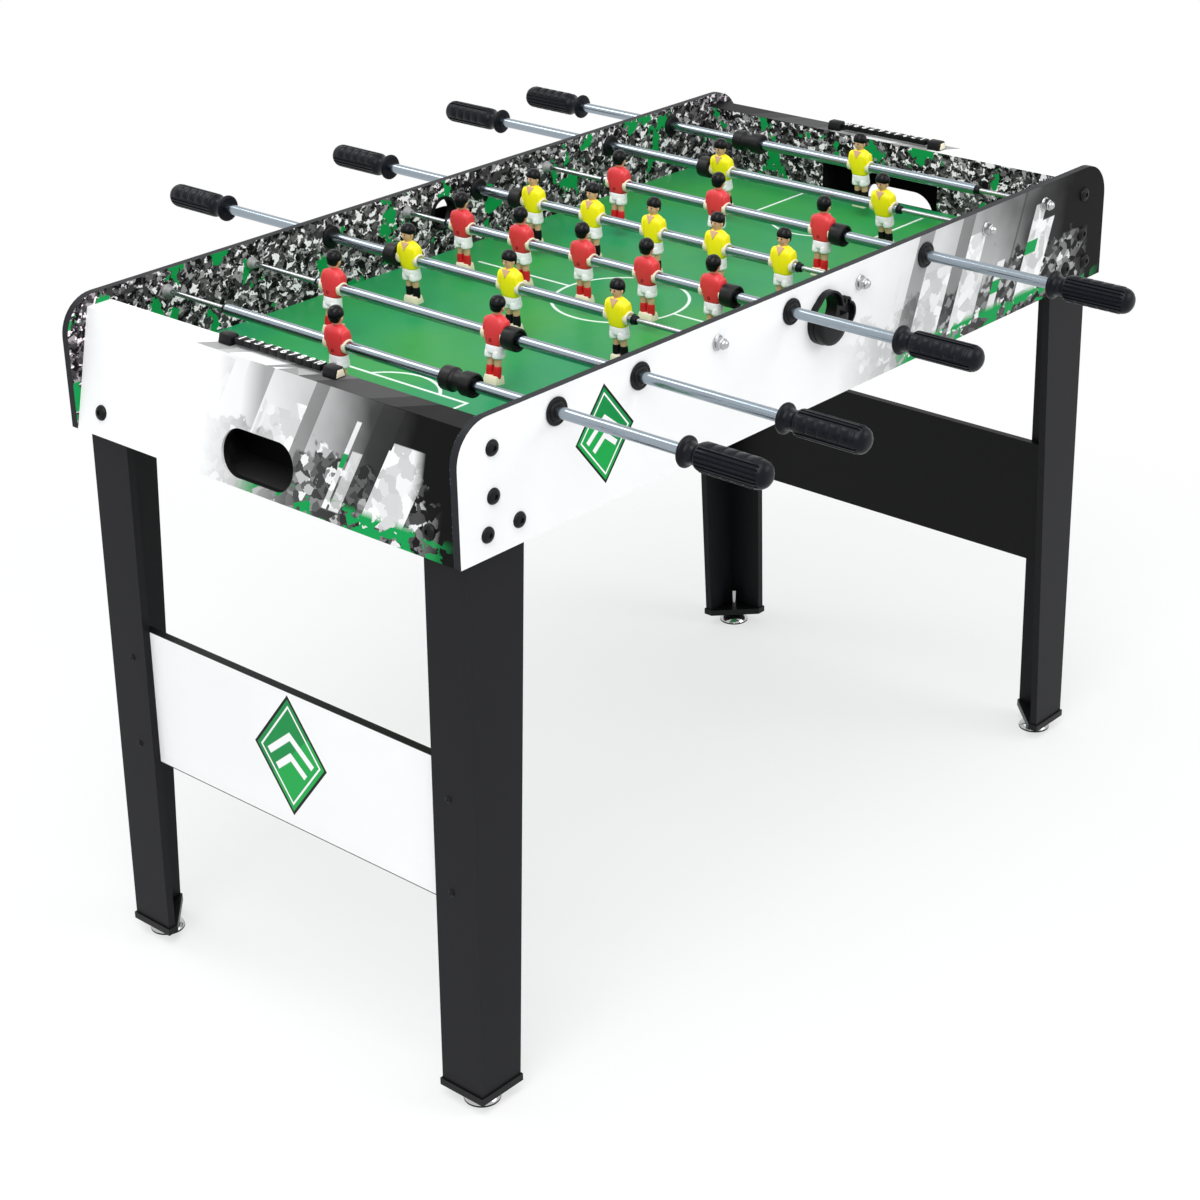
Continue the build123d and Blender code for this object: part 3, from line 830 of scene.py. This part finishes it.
def pocket():
    """A shallow cup whose open side is +Z, cut level above its middle so that a ball drops in."""
    rings = [(-19, 20), (-18.4, 24.5), (-17, 26.6), (-15, 27.2), (-6, 27.4), (-5.9, 25)]
    rings += [(-15.5, 24.8), (-16.8, 23.6), (-17, 18)]
    o = turned(40, rings, BLACK)
    bpy.ops.object.mode_set(mode="EDIT")
    bpy.ops.mesh.select_all(action="SELECT")
    bpy.ops.mesh.bisect(
        plane_co=(0, POCKET_CUT * MM, 0), plane_no=(0, 1, 0), use_fill=True, clear_outer=True
    )
    bpy.ops.mesh.select_all(action="SELECT")
    bpy.ops.mesh.normals_make_consistent(inside=False)
    bpy.ops.object.mode_set(mode="OBJECT")
    return softened(o, 0.5)


pocket_places = []
for side in (-1, 1):
    facing = turn("Z", 180 if side < 0 else 0) @ turn("X", 90)
    pocket_places.append(at(side * ENTRY_X, side * WALL_OUT, SIDE_TOP / MM - ENTRY_DROP) @ facing)
pockets = spread(pocket(), pocket_places, "ball_pockets")
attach(pockets, "table")


# Feet

FOOT_SMOOTH = 30
pad = turned(40, [(0, 20.4), (0.3, 21.2), (1.6, 21.4), (2.2, 20.8)], RUBBER)
shell_rings = [(2, 20.6), (2.5, 21.2), (4.2, 20.4), (7, 17.6), (9.6, 13.6), (11.6, 9.4)]
shell_rings += [(12.6, 7.4), (13, 4), (50, 4)]
shell = turned(40, shell_rings, BRIGHT)
foot_model = joined([pad, shell], "foot_model", FOOT_SMOOTH)
for name in [n for n in nodes if n.startswith("foot_")]:
    low, high = (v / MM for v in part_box(name))
    place = at((low.x + high.x) / 2, (low.y + high.y) / 2, low.z)
    foot = joined([copied(foot_model, place)], name + "_glide", FOOT_SMOOTH)
    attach(foot, name)
    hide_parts(name)
bpy.data.objects.remove(foot_model)


# Bolts and screws

LEAN = math.degrees(math.atan(END_LEAN))
SIDE_BOLTS = ((550, 793), (550.5, 741), (560.5, 702), (514, 703))
END_BOLT_Y, END_BOLT_Z = 261, 703
SCREW_X, SCREW_Y, SCREW_HEIGHTS = 581.5, 262, (390, 275)
bolt_rings = [(-0.4, 8.6), (0, 9), (0.7, 9), (2.2, 8.2), (3.4, 6.4), (4, 4.4), (4.1, 3), (2.4, 2.8)]
bolt = turned(28, bolt_rings, BLACK)
bolt_places = []
for end in (-1, 1):
    for side in (-1, 1):
        for across, z in SIDE_BOLTS:
            bolt_places.append(at(end * across, side * WALL_OUT, z) @ outward(side))
        slope_x = end * (HALF_LENGTH - END_LEAN * (END_BOLT_Z - LOW_Z))
        bolt_places.append(at(slope_x, side * END_BOLT_Y, END_BOLT_Z) @ turn("Y", end * (90 - LEAN)))
bolts = spread(bolt, bolt_places, "panel_bolts")
screw = turned(18, [(-0.4, 4), (0, 4.4), (0.5, 4.4), (1.4, 3.6), (1.8, 2.4), (1, 1.4)], BLACK)
screw_places = [
    at(end * (SCREW_X + LEG_SPLAY * (LOW_Z - z)), side * SCREW_Y, z) @ turn("Y", end * 90)
    for end in (-1, 1)
    for side in (-1, 1)
    for z in SCREW_HEIGHTS
]
screws = spread(screw, screw_places, "leg_screws")
for piece in (bolts, screws):
    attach(piece, "table")


# Scorers: posts with pale end plates, and beads with numerals

BEADS, BEAD_GAP, BEAD_DROP = 10, 0.15, 0.1
NUMERAL_SIZE, TWO_DIGIT_WIDTH = 15, 0.7


def numeral(text, place):
    """A raised numeral at a place, narrower if it has two digits."""
    clear_choice()
    bpy.ops.object.text_add()
    words = bpy.context.object.data
    words.body = text
    words.size = NUMERAL_SIZE * MM
    words.offset = 0.3 * MM
    words.extrude = 0.12 * MM
    words.align_x = "CENTER"
    words.align_y = "CENTER"
    bpy.ops.object.convert(target="MESH")
    o = bpy.context.object
    o.data.materials.append(NUMERAL)
    return moved(o, place @ Matrix.Diagonal((TWO_DIGIT_WIDTH if len(text) > 1 else 1, 1, 1, 1)))


low, high = (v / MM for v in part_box("score_frames"))
half = high.y
stand = block((-9, -21, 0), (9, 0, 12), BLACK, 2.4, (0.66, 0.95))
plate = block((-6.4, -1.2, 1.6), (6.4, 0, 9.6), CREAM, 0.2, (0.62, 1))
post = joined([stand, plate], "post_model")
bar = block((-2, -half + 10, 4), (2, half - 10, 8), BLACK, 0.4)
posts = []
for name, body, end in (("near_score_beads", "near_scorer", -1), ("far_score_beads", "far_scorer", 1)):
    bead_low, bead_high = (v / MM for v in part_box(name))
    x, long = (bead_low.x + bead_high.x) / 2, (bead_high.y - bead_low.y) / BEADS
    rail = at(x, 0, low.z)
    posts += [copied(post, rail @ turn("Z", half_turn) @ at(0, half, 0)) for half_turn in (0, 180)]
    posts.append(copied(bar, rail))
    bead = block((-5.6, -long / 2 + BEAD_GAP, -7), (5.6, long / 2 - BEAD_GAP, 0), BLACK, 0.7, (0.95, 0.97))
    row = []
    for k in range(BEADS):
        y = (bead_high.y + bead_low.y) / 2 + end * (k - (BEADS - 1) / 2) * long
        place = at(x, y, bead_high.z - BEAD_DROP)
        row += [copied(bead, place), numeral(str(k + 1), place @ turn("Z", 90 * end))]
    bpy.data.objects.remove(bead)
    row = joined(row, name + "_row")
    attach(row, body)
    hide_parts(name)
for model in (post, bar):
    bpy.data.objects.remove(model)
posts = joined(posts, "scorer_posts")
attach(posts, "table")
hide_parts("score_frames")


# Stage, light and camera


def in_sight(tree):
    """1 for rays from the camera, from mirrors and through glass."""
    path = tree.nodes.new("ShaderNodeLightPath")
    rays = [Val(tree, path.outputs["Is %s Ray" % kind]) for kind in ("Camera", "Glossy", "Transmission")]
    return rays[0].most(rays[1]).most(rays[2])


clear_choice()
bpy.ops.mesh.primitive_plane_add(size=60)
floor = bpy.context.object
floor.name = "floor"

# The floor fades to white with the distance from its middle, in metres
FADE_FROM, FADE_OVER, LEAST_FADE = 0.2, 1.4, 0.6
ground = Paint("studio_floor", 0.0)
ground.set(Base_Color=ground.mix(ground.noise(3), grey(0.9), grey(0.92)), Roughness=0.9)
from_middle = (ground.x * ground.x + ground.y * ground.y).math("SQRT")
far = (from_middle - FADE_FROM).math("DIVIDE", FADE_OVER, clamp=True).most(LEAST_FADE)
blank = ground.tree.nodes.new("ShaderNodeEmission")
blank.inputs["Color"].default_value = (1, 1, 1, 1)
fade = ground.tree.nodes.new("ShaderNodeMixShader")
plug(ground.tree, fade.inputs[0], far * in_sight(ground.tree))
ground.tree.links.new(ground.shader.outputs[0], fade.inputs[1])
ground.tree.links.new(blank.outputs[0], fade.inputs[2])
ground.tree.links.new(fade.outputs[0], ground.tree.nodes["Material Output"].inputs[0])
floor.data.materials.append(ground.material)

world = bpy.data.worlds.new("studio")
bpy.context.scene.world = world
world.use_nodes = True
tree = world.node_tree
sky = tree.nodes["Background"]
sky.inputs["Color"].default_value = (0.96, 0.98, 1.0, 1)
sky.inputs["Strength"].default_value = 0.6
wall = tree.nodes.new("ShaderNodeBackground")
wall.inputs["Color"].default_value = (1, 1, 1, 1)
wall.inputs["Strength"].default_value = 1.0
either = tree.nodes.new("ShaderNodeMixShader")
plug(tree, either.inputs[0], in_sight(tree))
tree.links.new(sky.outputs[0], either.inputs[1])
tree.links.new(wall.outputs[0], either.inputs[2])
tree.links.new(either.outputs[0], tree.nodes["World Output"].inputs[0])


def lamp(name, place, aim, size, power):
    clear_choice()
    bpy.ops.object.light_add(type="AREA", location=place)
    o = bpy.context.object
    o.name = name
    o.data.size = size
    o.data.energy = power
    o.rotation_euler = (Vector(aim) - Vector(place)).to_track_quat("-Z", "Y").to_euler()


lamp("key", (-2.6, -1.2, 3.4), (0, 0, 0.6), 2.4, 75)
lamp("fill", (1.6, -3.2, 2.4), (0.2, 0, 0.6), 2.2, 40)
lamp("top", (-0.6, -0.8, 3.6), (0, 0, 0.7), 2.0, 34)
lamp("back", (-0.6, 2.3, 3.5), (0, 0, 0.8), 1.3, 26)

CAMERA_AT = (-2.2206, -1.9492, 1.7447)
FOCAL_PX, PICTURE_PX, SENSOR = 2543.97, 1200, 36
AZIMUTH, DOWN, ROLL = (math.radians(a) for a in (48.099, 25.62, -1.133))
ahead = Vector((math.sin(AZIMUTH) * math.cos(DOWN), math.cos(AZIMUTH) * math.cos(DOWN), -math.sin(DOWN)))
right = ahead.cross(Vector((0, 0, 1))).normalized()
above = right.cross(ahead)
right, above = (
    right * math.cos(ROLL) + above * math.sin(ROLL),
    above * math.cos(ROLL) - right * math.sin(ROLL),
)
bpy.ops.object.camera_add()
camera = bpy.context.object
view = Matrix((right, above, -ahead)).transposed().to_4x4()
camera.matrix_world = Matrix.Translation(CAMERA_AT) @ view
camera.data.sensor_width = SENSOR
camera.data.lens = SENSOR * FOCAL_PX / PICTURE_PX
scene = bpy.context.scene
scene.camera = camera
scene.view_settings.view_transform = "Standard"
